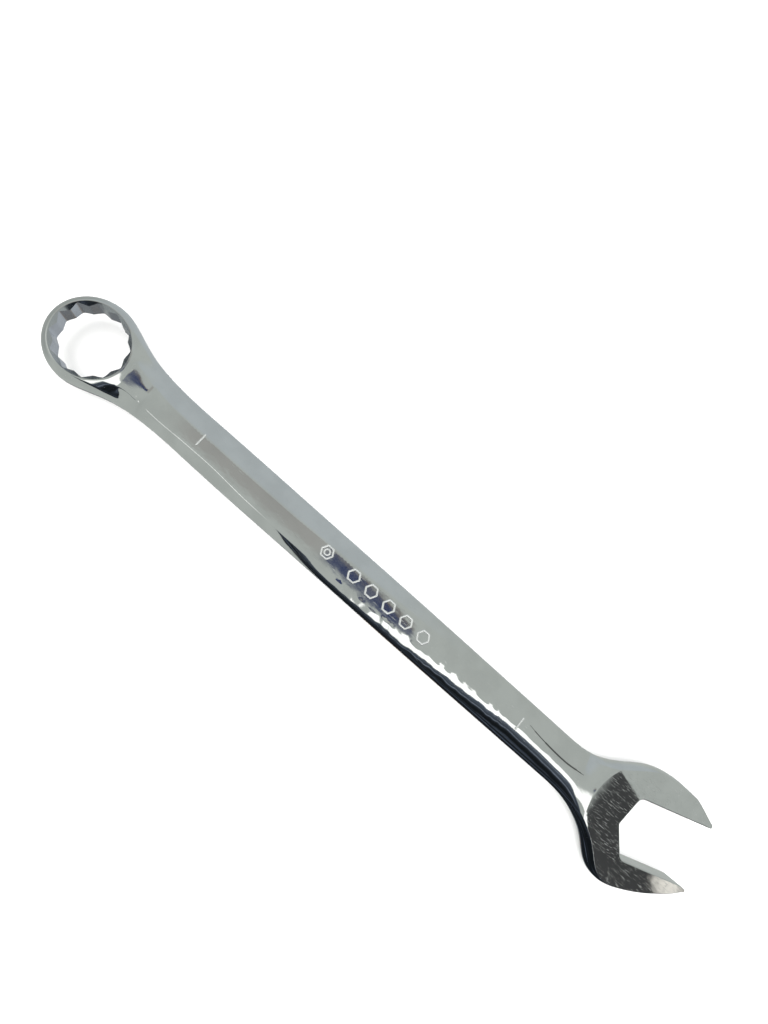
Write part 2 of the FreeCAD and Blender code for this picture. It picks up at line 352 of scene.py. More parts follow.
def flank_drop(x, y):
    """How far the flanks fall away below the panel, outside its edges."""
    edge = by_side(x, y, UPPER_TABLE, LOWER_TABLE)
    width = by_side(x, y, UPPER_WIDTH, LOWER_WIDTH)
    reach = np.maximum(width - RIM_MARGIN - edge, LEAST_FLANK)
    past = (np.abs(y) - edge) / reach
    upper_crease = UPPER_CREASE + SHANK_CREASE * soft_step(x, *CREASE_SOFTENS) * (
        1 - soft_step(x, *CREASE_SHARPENS))
    softness = np.where(y > 0, upper_crease, LOWER_CREASE) / reach
    crease = (past + softness) ** 2 / (4 * softness)
    facet = np.where(np.abs(past) < softness, crease, np.maximum(past, 0))
    flat_flank = FLANK_DROP * facet
    round_flank = 0.5 * CROWN * np.maximum(np.abs(y) - edge, 0) ** 2
    upper_round = UPPER_ROUNDNESS * soft_step(x, *UPPER_ROUNDS)
    roundness = np.where(y > 0, upper_round, soft_step(x, *LOWER_ROUNDS))
    end = np.where(y > 0, 1 - soft_step(x, *UPPER_FLANK_END), 1 - soft_step(x, *LOWER_FLANK_END))
    return (flat_flank + (round_flank - flat_flank) * roundness) * soft_step(x, *FLANK_START) * end


def hand_finish(x, y):
    """The shallow waves that hand grinding leaves on the rounded side of the shank."""
    drift = 1.3 * np.sin(x / 7.7) + 0.8 * np.sin(x / 3.1 + 1.0)
    waves = np.sin(x / 1.9 + drift) * np.cos(y / 1.7 + x / 9.0)
    waves = waves + 0.7 * np.sin(x / 1.13 - 2.0 * drift + 0.8 * y)
    waves = waves + 1.2 * np.sin(x / 4.9 + 2.0 * drift) * np.sin(y / 2.3 + x / 13.0)
    past = -y - np.interp(x, *LOWER_TABLE)
    along = soft_step(x, *GRINDING_START) * (1 - soft_step(x, *GRINDING_END))
    depth = GRINDING_DEPTH - GRINDING_CALM * soft_step(x, *GRINDING_CALMS)
    return depth * waves * (along * soft_step(past, -1.0, 1.0))


def neck_rise(x, y):
    """How high the neck is above the panel: round the ring at first, then straight across."""
    straighter = soft_step(x, 16, 19) * (1 - soft_step(np.abs(y), 2.5, 7.5))
    rise = np.interp(np.hypot(x, y * (1 - straighter)), *NECK_TABLE)
    along = np.clip((x - 20) / 8, 0, 1)
    crown = NECK_CROWN * along ** 3 * (1 - soft_step(x, 28.7, 32))
    return rise - crown * np.minimum((y - 0.3) ** 2, CROWN_SPAN)


def height(x, y):
    """The forging's top surface above its middle plane, before the box end is bent up."""
    from_head = np.clip((np.hypot(x - JAW_CENTRE[0], y) - FACE_RADIUS) / RAMP, 0, 1)
    top = PANEL + neck_rise(x, y) + (HEAD - PANEL) * (1 - from_head) ** 2
    return top - flank_drop(x, y) + hand_finish(x, y)


def surface_normal(x, y):
    """The top surface's normal, from its height a little to each side."""
    d = 0.12
    slope_x = (height(x + d, y) - height(x - d, y)) / (2 * d)
    slope_y = (height(x, y + d) - height(x, y - d)) / (2 * d)
    normal = np.stack([-slope_x, -slope_y, np.ones_like(slope_x)], axis=-1)
    return normal / np.linalg.norm(normal, axis=-1, keepdims=True)


def rim_sizes(plan, wall):
    """How wide, how steep and how softly edged the rounded rim is at each outline point."""
    x = plan[:, 0]
    along_jaw = (plan - JAW_CENTRE) @ np.array([math.cos(JAW_ANGLE), math.sin(JAW_ANGLE)])
    width = 2.6 - 0.6 * soft_step(x, 6, 24) - 0.9 * soft_step(x, 268, 292)
    width -= 0.6 * soft_step(along_jaw, 12, 22)
    steepness = 1.3 * (1 - soft_step(x, *RING_BARREL_END)) + 1.6 * soft_step(x, 264, 280)
    edge = 0.6 - 0.3 * soft_step(x, *RING_BARREL_END) - 0.16 * soft_step(x, 268, 280)
    wall_width, wall_edge = 0.02, 0.35
    edge = edge * (1 - wall) + wall_edge * wall
    return width * (1 - wall) + wall_width * wall, steepness * (1 - wall), edge


def grid_normals(grid):
    """Normals of a grid of points whose columns run round a closed loop."""
    around = np.roll(grid, -1, axis=1) - np.roll(grid, 1, axis=1)
    up = np.gradient(grid, axis=0)
    normal = np.cross(around, up)
    return normal / np.linalg.norm(normal, axis=-1, keepdims=True)


def rim_grid(plan, wall):
    """The rounded outside of the top half, as rows of points from the middle plane upwards."""
    side_rows, edge_rows = 8, 5
    steepest = 0.92
    tangent = np.roll(plan, -1, axis=0) - np.roll(plan, 1, axis=0)
    tangent /= np.linalg.norm(tangent, axis=1, keepdims=True)
    inward = np.column_stack([-tangent[:, 1], tangent[:, 0]])
    width, steepness, edge = rim_sizes(plan, wall)
    corner_plan = plan + inward * width[:, None]
    corner_height = height(*corner_plan.T)
    inner_plan = plan + inward * (width + edge)[:, None]
    inner_height = height(*inner_plan.T)
    slope = (inner_height - corner_height) / edge + steepness
    slope = np.clip(slope, 0, steepest * corner_height / width)
    start = np.zeros((len(plan), 2))
    pull = np.column_stack([np.zeros(len(plan)), corner_height - width * slope])
    corner = np.column_stack([width, corner_height])
    inner = np.column_stack([width + edge, inner_height])
    t = np.linspace(0, 1, SIDE_SAMPLES)[:, None, None]
    side = (1 - t) ** 2 * start + 2 * t * (1 - t) * pull + t ** 2 * corner
    left = np.linalg.norm(side - corner, axis=2)
    rows = np.empty((side_rows + edge_rows - 1, len(plan), 2))
    for i in range(len(plan)):
        keep = left[:, i] >= edge[i]
        last = np.count_nonzero(keep) - 1
        picks = np.linspace(0, last, side_rows)
        for k in range(2):
            rows[:side_rows, i, k] = np.interp(picks, np.arange(SIDE_SAMPLES), side[:, i, k])
    u = np.linspace(0, 1, edge_rows)[1:, None, None]
    rows[side_rows:] = (1 - u) ** 2 * rows[side_rows - 1] + 2 * u * (1 - u) * corner + u ** 2 * inner
    flat = plan + inward * rows[:, :, :1]
    grid = np.concatenate([flat, rows[:, :, 1:]], axis=2)
    normals = grid_normals(grid)
    normals[0, :, 2] = 0
    normals[0] /= np.linalg.norm(normals[0], axis=1, keepdims=True)
    normals[-1] = surface_normal(*inner_plan.T)
    return grid, normals


def opening_radius(angle):
    """How far the 12-point opening's wall is from its axis in a direction."""
    sector = 2 * math.pi / BOX_POINTS
    off = np.abs((angle + sector / 2) % sector - sector / 2)
    star = FLAT / np.cos(math.pi / 6 - off)
    return np.minimum(star, RELIEF_RADIUS)


def opening_grids():
    """The opening's wall and its lead-in cone, each as rows of points with their normals."""
    per_point = 14
    angles = -np.arange(BOX_POINTS * per_point) * 2 * math.pi / (BOX_POINTS * per_point)
    radius = opening_radius(angles)
    round_x, round_y = np.cos(angles), np.sin(angles)
    wall_top = RING_HALF - (LEAD_IN_RADIUS - radius)
    wall = np.stack([np.column_stack([radius * round_x, radius * round_y, wall_top * part])
                     for part in (0.0, 0.34, 0.67, 1.0)])
    wall_normals = grid_normals(wall)
    wall_normals[:, :, 2] = 0
    wall_normals /= np.linalg.norm(wall_normals, axis=2, keepdims=True)
    brim = height(LEAD_IN_RADIUS * round_x, LEAD_IN_RADIUS * round_y)
    rows = []
    for part in (0.0, 0.5, 1.0):
        across = radius + (LEAD_IN_RADIUS - radius) * part
        up = wall_top + (brim - wall_top) * part
        rows.append(np.column_stack([across * round_x, across * round_y, up]))
    cone = np.stack(rows)
    lean = math.sqrt(0.5)
    cone_normal = np.column_stack([-lean * round_x, -lean * round_y, np.full(len(angles), lean)])
    return [(wall, wall_normals), (cone, np.stack([cone_normal] * 3))]


def inside(points, loop):
    """Which points are inside a closed loop."""
    result = np.zeros(len(points), bool)
    ends = np.roll(loop, -1, axis=0)
    for (x0, y0), (x1, y1) in zip(loop, ends):
        if y0 == y1:
            continue
        crosses = (points[:, 1] < y0) != (points[:, 1] < y1)
        at = x0 + (points[:, 1] - y0) * (x1 - x0) / (y1 - y0)
        result ^= crosses & (points[:, 0] < at)
    return result


def clear_of(points, others, distance):
    """Which points are at least a distance from all the others."""
    cell = {}
    for x, y in others:
        cell.setdefault((int(x // distance), int(y // distance)), []).append((x, y))
    keep = np.ones(len(points), bool)
    for i, (x, y) in enumerate(points):
        cx, cy = int(x // distance), int(y // distance)
        near = [q for dx in (-1, 0, 1) for dy in (-1, 0, 1) for q in cell.get((cx + dx, cy + dy), ())]
        keep[i] = all((x - a) ** 2 + (y - b) ** 2 >= distance ** 2 for a, b in near)
    return keep


def guide_points():
    """Points along the lines where the top surface turns sharply, so that the mesh follows them."""
    lines = []
    turns = np.linspace(0, 2 * math.pi, 400, endpoint=False)
    circle = np.column_stack([np.cos(turns), np.sin(turns)])
    for offset in (-0.25, 0.0, 0.3):
        lines.append(circle[::2] * (LAND_RADIUS + offset))
        lines.append(circle * (NECK_SLOPES[2][0] + offset * 0.6))
        lines.append(circle * (NECK_SLOPES[-1][0] + offset * 0.6))
        lines.append(JAW_CENTRE + circle * (FACE_RADIUS + offset))
    x = np.arange(12.0, 268.0, 0.5)
    for offset in (-0.45, -0.2, 0.0, 0.2, 0.45):
        lines.append(np.column_stack([x, np.interp(x, *UPPER_TABLE) + offset]))
    for offset in (-0.45, 0.0, 0.45):
        lines.append(np.column_stack([x, -np.interp(x, *LOWER_TABLE) - offset]))
    picked = np.empty((0, 2))
    for line in lines:
        line = line[clear_of(line, picked, GUIDE_GAP)]
        picked = np.vstack([picked, line])
    return picked


def grid_points():
    """Evenly spread points over the plan, closer together at the two ends."""
    points = []
    first, last = SHANK_SPAN
    for start, end, gap in ((-20, first, END_GRID), (first, last, SHANK_GRID), (last, 330, END_GRID)):
        for row, x in enumerate(np.arange(start, end, gap * math.sqrt(0.75))):
            y = np.arange(-30, 30, gap) + (row % 2) * gap / 2
            points.append(np.column_stack([np.full(len(y), x), y]))
    return np.concatenate(points)


def top_surface(outer, hole):
    """The triangles between the rim and the opening, as points and index triples."""
    border = np.vstack([outer, hole])
    guides = guide_points()
    guides = guides[inside(guides, outer) & ~inside(guides, hole)]
    guide_to_border, spread_to_border, spread_to_guide = 0.3, 0.4, 0.45
    guides = guides[clear_of(guides, border, guide_to_border)]
    spread = grid_points()
    spread = spread[inside(spread, outer) & ~inside(spread, hole)]
    spread = spread[clear_of(spread, border, spread_to_border)]
    spread = spread[clear_of(spread, guides, spread_to_guide)]
    points = np.vstack([border, guides, spread])
    first, second = len(outer), len(hole)
    edges = [(i, (i + 1) % first) for i in range(first)]
    edges += [(first + i, first + (i + 1) % second) for i in range(second)]
    vectors = [Vector(p) for p in points]
    made, _, faces, given, _, _ = delaunay_2d_cdt(vectors, edges, [], 0, 1e-6)
    places = np.array([points[g[0]] if g else tuple(p) for p, g in zip(made, given)])
    triangles = np.array([tuple(f) for f in faces])
    middles = places[triangles].mean(axis=1)
    triangles = triangles[inside(middles, outer) & ~inside(middles, hole)]
    a, b, c = places[triangles].transpose(1, 0, 2)
    turn = (b - a)[:, 0] * (c - a)[:, 1] - (b - a)[:, 1] * (c - a)[:, 0]
    triangles[turn < 0] = triangles[turn < 0][:, ::-1]
    return places, triangles


# The body's materials, in order; the last is a very dark chrome that paints shade into the +Y crease near
# the open end
PLAIN, GROUND, BROACHED, CREASE_SHADE = 0, 1, 2, 3


class Skin:
    """Faces gathered from several grids, with shared corners and a normal for each face corner."""

    def __init__(self):
        self.index = {}
        self.places = []
        self.faces = []
        self.normals = []
        self.materials = []

    def corner(self, place):
        """The number of the corner at a place, which faces that meet there share."""
        key = tuple(int(round(value * WELDS_PER_MM)) for value in place)
        if key not in self.index:
            self.index[key] = len(self.places)
            self.places.append(place)
        return self.index[key]

    def add(self, places, normals, material=0):
        """One face of the top half, and its mirror image below."""
        corners = [self.corner(place) for place in places]
        if len(set(corners)) < 3:
            return
        keep = [i for i, c in enumerate(corners) if c not in corners[:i]]
        self.faces.append([corners[i] for i in keep])
        self.normals.extend(normals[i] for i in keep)
        self.materials.append(material)
        flip = np.array([1.0, 1.0, -1.0])
        below = [self.corner(place * flip) for place in places]
        self.faces.append([below[i] for i in reversed(keep)])
        self.normals.extend(normals[i] * flip for i in reversed(keep))
        self.materials.append(material)

    def add_grid(self, grid, normals, material=0):
        """A grid whose columns run round a closed loop."""
        rows, columns = grid.shape[:2]
        for r in range(rows - 1):
            for c in range(columns):
                n = (c + 1) % columns
                spots = [(r, c), (r, n), (r + 1, n), (r + 1, c)]
                self.add([grid[s] for s in spots], [normals[s] for s in spots], material)


def centre_line(x):
    """The middle plane's place at each plan x, with the tilt of its normal."""
    start_x, start_z = BEND_START * math.cos(RING_TILT), RING_RISE - BEND_START * math.sin(RING_TILT)
    length = BEND_END - BEND_START
    stretch = (BEND_END - start_x) / length
    t = np.clip((x - BEND_START) / length, 0, 1)
    first_slope = -math.tan(RING_TILT) * length * stretch
    bend_z = (2 * t ** 3 - 3 * t ** 2 + 1) * start_z + (t ** 3 - 2 * t ** 2 + t) * first_slope
    bend_slope = (6 * t ** 2 - 6 * t) * start_z + (3 * t ** 2 - 4 * t + 1) * first_slope
    in_ring, on_shank = x < BEND_START, x > BEND_END
    line_x = np.where(in_ring, x * math.cos(RING_TILT), start_x + (x - BEND_START) * stretch)
    line_x = np.where(on_shank, x, line_x)
    line_z = np.where(in_ring, RING_RISE - x * math.sin(RING_TILT), bend_z)
    line_z = np.where(on_shank, 0.0, line_z)
    tilt = np.arctan(-bend_slope / (length * stretch))
    return line_x, line_z, tilt


def bent(places, normals, place_of_normal):
    """Tilt the box end: places and normals of the flat forging, moved to their real places."""
    line_x, line_z, tilt = centre_line(places[:, 0])
    moved = np.column_stack([line_x + places[:, 2] * np.sin(tilt), places[:, 1],
                             line_z + places[:, 2] * np.cos(tilt)])
    turn = tilt[place_of_normal]
    turned = np.column_stack([normals[:, 0] * np.cos(turn) + normals[:, 2] * np.sin(turn),
                              normals[:, 1],
                              normals[:, 2] * np.cos(turn) - normals[:, 0] * np.sin(turn)])
    return moved, turned


def to_row(places):
    """Millimetres from the shank's middle plane to metres in the row frame."""
    return (places - np.array([0, 0, RING_RISE])) * MM


def mesh_object(name, places, faces, normals=None):
    """A smooth-shaded object from row-frame places and faces."""
    mesh = bpy.data.meshes.new(name)
    mesh.from_pydata([tuple(p) for p in places], [], [tuple(f) for f in faces])
    mesh.shade_smooth()
    if normals is not None:
        mesh.normals_split_custom_set([tuple(n) for n in normals])
    made = bpy.data.objects.new(name, mesh)
    bpy.context.scene.collection.objects.link(made)
    return made


def finish_or_shade_at(x, y):
    """Which finish the top surface has at a point, or the painted shade in the +Y crease."""
    if math.hypot(x - JAW_CENTRE[0], y) < FACE_RADIUS and x > 260:
        return GROUND
    past = y - float(np.interp(x, *UPPER_TABLE))
    along = soft_step(x, *CREASE_SHADE_START) * (1 - soft_step(x, *CREASE_SHADE_END))
    half_width = CREASE_SHADE_HALF_WIDTH * float(along)
    return CREASE_SHADE if abs(past) < half_width else PLAIN


def forging():
    """The whole forged body as one watertight mesh."""
    plan, wall = sampled_outline()
    rim, rim_normals = rim_grid(plan, wall)
    opening = opening_grids()
    hole = opening[-1][0][-1, :, :2]
    places, triangles = top_surface(rim[-1, :, :2], hole)
    skin = Skin()
    skin.add_grid(rim, rim_normals)
    for grid, normals in opening:
        skin.add_grid(grid, normals, BROACHED)
    tops = np.column_stack([places, height(*places.T)])
    normals = surface_normal(*places.T)
    on_land = np.hypot(*places.T) < LEAD_IN_RADIUS + 0.2
    normals[on_land] = (0, 0, 1)
    # Each triangle's finish; a strip along the +Y crease gets painted shade
    for triangle in triangles:
        finish_or_shade = finish_or_shade_at(*places[triangle].mean(axis=0))
        skin.add([tops[i] for i in triangle], [normals[i] for i in triangle], finish_or_shade)
    corners = np.array([c for face in skin.faces for c in face])
    moved, turned = bent(np.array(skin.places), np.array(skin.normals), corners)
    body = mesh_object("forged_body", to_row(moved), skin.faces, turned)
    body.data.polygons.foreach_set("material_index", skin.materials)
    return body


def rounded_path(points, radius, step):
    """A closed path through the corners, each rounded."""
    path = []
    count = len(points)
    for i in range(count):
        arc = rounded_corner(points[i - 1], points[i], points[(i + 1) % count], radius, step)
        path.append(arc)
    return np.concatenate(path)


def round_ended(path):
    """A straight path with points for round ends, a bead's width at each, and its direction."""
    ends = np.linspace(0, math.pi / 2, 6)
    along = path[-1] - path[0]
    along /= np.hypot(*along)
    start, end = path[0] + BEAD_HALF_WIDTH * along, path[-1] - BEAD_HALF_WIDTH * along
    middle = straight_to(start, end, 0.5)
    path = np.vstack([start - BEAD_HALF_WIDTH * np.cos(ends)[:, None] * along,
                      middle[1:-1],
                      end + BEAD_HALF_WIDTH * np.cos(ends[::-1])[:, None] * along])
    scale = np.concatenate([np.maximum(np.sin(ends), BEAD_END_WIDTH), np.ones(len(middle) - 2),
                            np.maximum(np.sin(ends[::-1]), BEAD_END_WIDTH)])
    return path, scale, np.tile(along, (len(path), 1))


def bead(path, closed):
    """A low round-topped bead along a path on the panel, with round ends if the path is open."""
    if closed:
        ahead = np.roll(path, -1, axis=0) - np.roll(path, 1, axis=0)
        scale = np.ones(len(path))
    else:
        path, scale, ahead = round_ended(path)
    top = [(across, up * BEAD_RISE) for across, up in BEAD_TOP]
    section = [(-1.0, -BEAD_SINK)] + top + [(1.0, -BEAD_SINK)]
    ahead = ahead / np.hypot(*ahead.T)[:, None]
    side = np.column_stack([-ahead[:, 1], ahead[:, 0]])
    places, faces = [], []
    width = len(section)
    for i, (x, y) in enumerate(path):
        for across, up in section:
            px, py = np.array([x, y]) + side[i] * across * BEAD_HALF_WIDTH * scale[i]
            lift = up if up < 0 else up * scale[i] ** 0.7
            places.append((px, py, PANEL + lift))
    count = len(path)
    last = count if closed else count - 1
    for i in range(last):
        n = (i + 1) % count
        for k in range(width):
            m = (k + 1) % width
            faces.append((i * width + k, i * width + m, n * width + m, n * width + k))
    if not closed:
        faces.append(tuple(range(width))[::-1])
        faces.append(tuple((count - 1) * width + k for k in range(width)))
    return places, [f[::-1] for f in faces]


def mark(name, beads):
    """One raised mark from its beads."""
    places, faces = [], []
    for bead_places, bead_faces in beads:
        faces += [tuple(len(places) + i for i in face) for face in bead_faces]
        places += bead_places
    return mesh_object(name, to_row(np.array(places)), faces)


def hexagon(x):
    """A hexagon outline on the panel."""
    corner_radius, step = 0.35, 0.15
    turns = [math.radians(60 * k) for k in range(6)]
    corners = [np.array([x + HEXAGON_RADIUS * math.cos(a), HEXAGON_RADIUS * math.sin(a)]) for a in turns]
    return bead(rounded_path(corners, corner_radius, step), True)


def circle(x, radius):
    """A small ring on the panel."""
    turns = np.linspace(0, 2 * math.pi, 40, endpoint=False)
    return bead(np.column_stack([x + radius * np.cos(turns), radius * np.sin(turns)]), True)


def size_figure(x):
    """The figure 1, a plain stroke across the panel."""
    return bead(np.array([[x, -FIGURE_HALF], [x, FIGURE_HALF]]), False)


body = forging()
marks = [
    mark("box_size_figure", [size_figure(BOX_FIGURE_X)]),
    mark("open_size_figure", [size_figure(OPEN_FIGURE_X)]),
    mark("nut_symbol_relief", [hexagon(SYMBOL_X), circle(SYMBOL_X, SYMBOL_HOLE)]),
    mark("hexagon_row_relief", [hexagon(HEXAGONS_START + HEXAGON_PITCH * i) for i in range(HEXAGON_COUNT)]),
]
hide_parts("box_end_ring", "box_end_neck", "shank", "open_end_neck", "open_end_throat",
            "upper_jaw", "lower_jaw")
for piece, node in zip(marks, ["box_size_mark", "open_size_mark", "nut_symbol", "hexagon_row"]):
    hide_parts(node)
for piece in [body] + marks:
    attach(piece, "root")


class Graph:
    """Small helper to add shader nodes and wire them by input name."""

    def __init__(self, tree):
        self.nodes, self.links = tree.nodes, tree.links

    def add(self, kind, settings=None, **inputs):
        """A node with some settings, and values or links for its inputs."""
        node = self.nodes.new(kind)
        for key, value in (settings or {}).items():
            setattr(node, key, value)
        for key, value in inputs.items():
            slot = node.inputs[int(key[1:])] if key[0] == "i" and key[1:].isdigit() else node.inputs[key]
            if hasattr(value, "links"):
                self.links.new(value, slot)
            else:
                slot.default_value = value
        return node.outputs[0]

    def math(self, operation, *values):
        """A Math node on one, two or three values."""
        inputs = {f"i{i}": value for i, value in enumerate(values)}
        return self.add("ShaderNodeMath", {"operation": operation}, **inputs)

    def ramp(self, value, low, high, to_low=0.0, to_high=1.0):
        """A smooth change from one value to another as the input passes between two limits."""
        return self.add("ShaderNodeMapRange", {"interpolation_type": "SMOOTHSTEP"},
                        i0=value, i1=low, i2=high, i3=to_low, i4=to_high)

    def mix(self, amount, first, second):
        """A mix of two colours."""
        node = self.nodes.new("ShaderNodeMix")
        node.data_type = "RGBA"
        for slot, value in ((0, amount), (6, first), (7, second)):
            if hasattr(value, "links"):
                self.links.new(value, node.inputs[slot])
            else:
                node.inputs[slot].default_value = value
        return node.outputs[2]

    def split(self, vector):
        """The x, y and z of a vector."""
        node = self.nodes.new("ShaderNodeSeparateXYZ")
        self.links.new(vector, node.inputs[0])
        return node.outputs

    def sum_of(self, *parts):
        """A weighted sum, given as pairs of weight and value, with a plain number last."""
        total = parts[-1]
        for weight, value in parts[:-1]:
            total = self.math("MULTIPLY_ADD", value, weight, total)
        return total

    def all_of(self, first, *others):
        """The product of some masks: what all of them cover."""
        for other in others:
            first = self.math("MULTIPLY", first, other)
        return first

    def within(self, value, low, high, soft):
        """1 between two limits and 0 outside them."""
        over = self.ramp(value, low - soft, low + soft)
        return self.all_of(over, self.ramp(value, high - soft, high + soft, 1, 0))


def scratch_layer(graph, place, angle, fineness, threshold):
    """Short fine scratches that run one way: stretched noise, kept only where it peaks."""
    turned = graph.add("ShaderNodeMapping", None, Vector=place, Rotation=(0, 0, math.radians(angle)),
                       Scale=(fineness * 0.035, fineness, fineness))
    noise = graph.add("ShaderNodeTexNoise", None, Vector=turned, Scale=1.0, Detail=1.0, Roughness=0.4)
    return graph.ramp(noise, threshold, threshold + 0.05)


def scratches(graph, place, wear):
    """The scratches of every direction together, fainter in patches."""
    layers = [scratch_layer(graph, place, *layer) for layer in wear]
    most = layers[0]
    for layer in layers[1:]:
        most = graph.math("MAXIMUM", most, layer)
    cloud = graph.add("ShaderNodeTexNoise", None, Vector=place, Scale=160.0, Detail=2.0)
    patchy = graph.ramp(cloud, 0.38, 0.62)
    return graph.math("MULTIPLY", most, graph.math("MULTIPLY_ADD", patchy, 0.75, 0.25))


def ground_side(graph, place):
    """1 where hand grinding left fine ripples, on the -Y side of the shank, and 0 elsewhere."""
    x, y, _ = graph.split(place)
    past = graph.math("MULTIPLY_ADD", x, 0.0533, graph.math("MULTIPLY_ADD", y, -1.0, -0.01366))
    starts, below = graph.ramp(x, 0.115, 0.15), graph.ramp(past, -0.0003, 0.0012)
    return graph.all_of(starts, below, graph.ramp(x, 0.25, 0.28, 1, 0))


def waviness(graph, place):
    """The faint waves of polished plating, with ripples where the forging was ground by hand."""
    stretched = graph.add("ShaderNodeMapping", None, Vector=place, Scale=(1.0, 1.6, 1.6))
    wave = graph.add("ShaderNodeTexNoise", None, Vector=stretched, Scale=180.0, Detail=1.5)
    ripple = graph.add("ShaderNodeTexNoise", None, Vector=place, Scale=520.0, Detail=3.0)
    ripple = graph.math("MULTIPLY", ripple, ground_side(graph, place))
    return graph.math("MULTIPLY_ADD", ripple, 1.5, wave)


def chrome(name, tint, roughness, wear, metallic=1.0, scratch_depth=0.15):
    """Chrome plate with a faint waviness, cloudy polish and fine scratches."""
    material = bpy.data.materials.new(name)
    material.use_nodes = True
    graph = Graph(material.node_tree)
    shader = graph.nodes["Principled BSDF"]
    shader.inputs["Metallic"].default_value = metallic
    place = graph.nodes.new("ShaderNodeTexCoord").outputs["Object"]
    cloud = graph.add("ShaderNodeTexNoise", None, Vector=place, Scale=90.0, Detail=4.0)
    darker = tuple(CLOUD_SHADE * c for c in tint) + (1,)
    colour = graph.mix(graph.ramp(cloud, 0.35, 0.65), tint + (1,), darker)
    graph.links.new(colour, shader.inputs["Base Color"])
    worn = scratches(graph, place, wear)
    polish = graph.ramp(cloud, 0.3, 0.7, roughness * 0.7, roughness * 1.4)
    worn_roughness = graph.math("MULTIPLY_ADD", worn, SCRATCH_ROUGHNESS, polish)
    graph.links.new(worn_roughness, shader.inputs["Roughness"])
    bump = graph.nodes.new("ShaderNodeBump")
    bump.inputs["Strength"].default_value = 1.0
    bump.inputs["Distance"].default_value = BUMP_DEPTH
    relief = graph.math("MULTIPLY_ADD", worn, -scratch_depth, waviness(graph, place))
    graph.links.new(relief, bump.inputs["Height"])
    graph.links.new(bump.outputs["Normal"], shader.inputs["Normal"])
    return material


# Chrome: its colour, how much darker its cloudy parts are, what a scratch adds to the roughness,
# and the depth of its bump in metres
CHROME_TINT = (0.80, 0.82, 0.81)
CLOUD_SHADE = 0.93
SCRATCH_ROUGHNESS = 0.36
BUMP_DEPTH = 0.000009

# Scratches: the angle of each layer, its fineness, and how much of the noise is left out
BODY_WEAR = [(38, 5200, 0.76), (-24, 5600, 0.76), (3, 4900, 0.76)]
FACE_WEAR = [(20, 6900, 0.73), (-35, 7400, 0.73), (72, 7100, 0.73), (-78, 7700, 0.73), (50, 6600, 0.74),
             (-8, 7600, 0.74)]

body_chrome = chrome("chrome_forging", CHROME_TINT, 0.05, BODY_WEAR)
face_chrome = chrome("chrome_ground_face", CHROME_TINT, 0.025, FACE_WEAR, 1.0, 0.5)
opening_chrome = chrome("chrome_broached", (0.60, 0.625, 0.65), 0.2, BODY_WEAR)
# A very dark chrome that paints shade into the +Y crease near the open end
crease_shade_chrome = chrome("chrome_painted_crease_shade", (0.16, 0.165, 0.16), 0.3, BODY_WEAR)
mark_chrome = chrome("chrome_marks", (0.88, 0.89, 0.88), 0.2, BODY_WEAR, 0.82)
for material in (body_chrome, face_chrome, opening_chrome, crease_shade_chrome):
    body.data.materials.append(material)
for piece in marks:
    piece.data.materials.append(mark_chrome)


# What the chrome mirrors: the colours of the parts of the room
ROOM_GREY = (0.46, 0.485, 0.465, 1)
ROOM_COOL = (0.47, 0.505, 0.52, 1)
ROOM_DIM = (0.355, 0.375, 0.365, 1)
UNDER_DARK = (0.20, 0.21, 0.22, 1)
UNDER_LIGHT = (0.46, 0.49, 0.52, 1)
TABLE_BROWN = (0.34, 0.25, 0.17, 1)
PERSON_GREY = (0.372, 0.37, 0.355, 1)
DARK_ROOM = (0.058, 0.059, 0.060, 1)
PANEL_WHITE = (1.4, 1.4, 1.37, 1)
CAMERA_BROWN = (0.12, 0.080, 0.05, 1)
CAMERA_BLUE = (0.03, 0.045, 0.12, 1)
GLINT_WARM = (1.0, 0.95, 0.88, 1)
PALE_BACKDROP = (0.86, 0.865, 0.86, 1)

# The dark wall, in metres: its plane and its outline in x and z
WALL_Y = -0.30
WALL_OUTLINE = [(0.16, -0.75), (1.60, -0.75), (1.60, 1.05), (0.62, 1.05), (0.34, 0.60), (0.05, 0.60)]

# The floor and the lamp over the wrench's middle, in metres and watts
MIDDLE_X = 0.16
FLOOR_SIZE = 8
FLOOR_COLOUR = (0.93, 0.92, 0.915, 1)
LAMP_HEIGHT = 1.2
LAMP_SIZE = 2.0
LAMP_WATTS = 40

# The camera at the photograph's angle: its place in metres, two of its axes, and its focal length
# in pixels of an image of the given height
CAMERA_PLACE = (0.12150, -0.01520, 0.24752)
CAMERA_RIGHT = (0.7437, 0.6531, 0.1425)
CAMERA_BACK = (-0.0375, -0.1720, 0.9844)
FOCAL_PIXELS = 607.27
IMAGE_HEIGHT = 1024
SENSOR_SIZE = 36.0


def room(graph, x, y, z):
    """The room all round: light grey, cooler towards +Y, dimmer towards -X, and what lies below."""
    cooler = graph.all_of(graph.ramp(y, 0.10, 0.45), graph.ramp(x, 0.05, 0.30, 1, 0))
    colour = graph.mix(cooler, ROOM_GREY, ROOM_COOL)
    colour = graph.mix(graph.ramp(x, -0.80, -0.45, 1, 0), colour, ROOM_DIM)
    facing = graph.ramp(graph.sum_of((1, y), (0.4, x), 0.0), -0.12, 0.12)
    under = graph.mix(facing, UNDER_DARK, UNDER_LIGHT)
    colour = graph.mix(graph.ramp(z, -0.92, -0.84, 1, 0), colour, under)
    table = graph.all_of(graph.within(y, -0.36, 0.0, 0.02), graph.ramp(x, 0.10, 0.14),
                         graph.ramp(z, -0.95, -0.88, 1, 0))
    return graph.mix(table, colour, TABLE_BROWN)


def camera_patch(graph, u, v, middle):
    """A slim slanted patch that stands for the camera."""
    off = graph.math("ABSOLUTE", graph.sum_of((1, v), (0.055, u), -middle))
    slim = graph.ramp(graph.sum_of((1, off), (0.02, u), 0.0), 0.0110, 0.0130, 1, 0)
    return graph.all_of(slim, graph.within(u, 0.010, 0.205, 0.004))


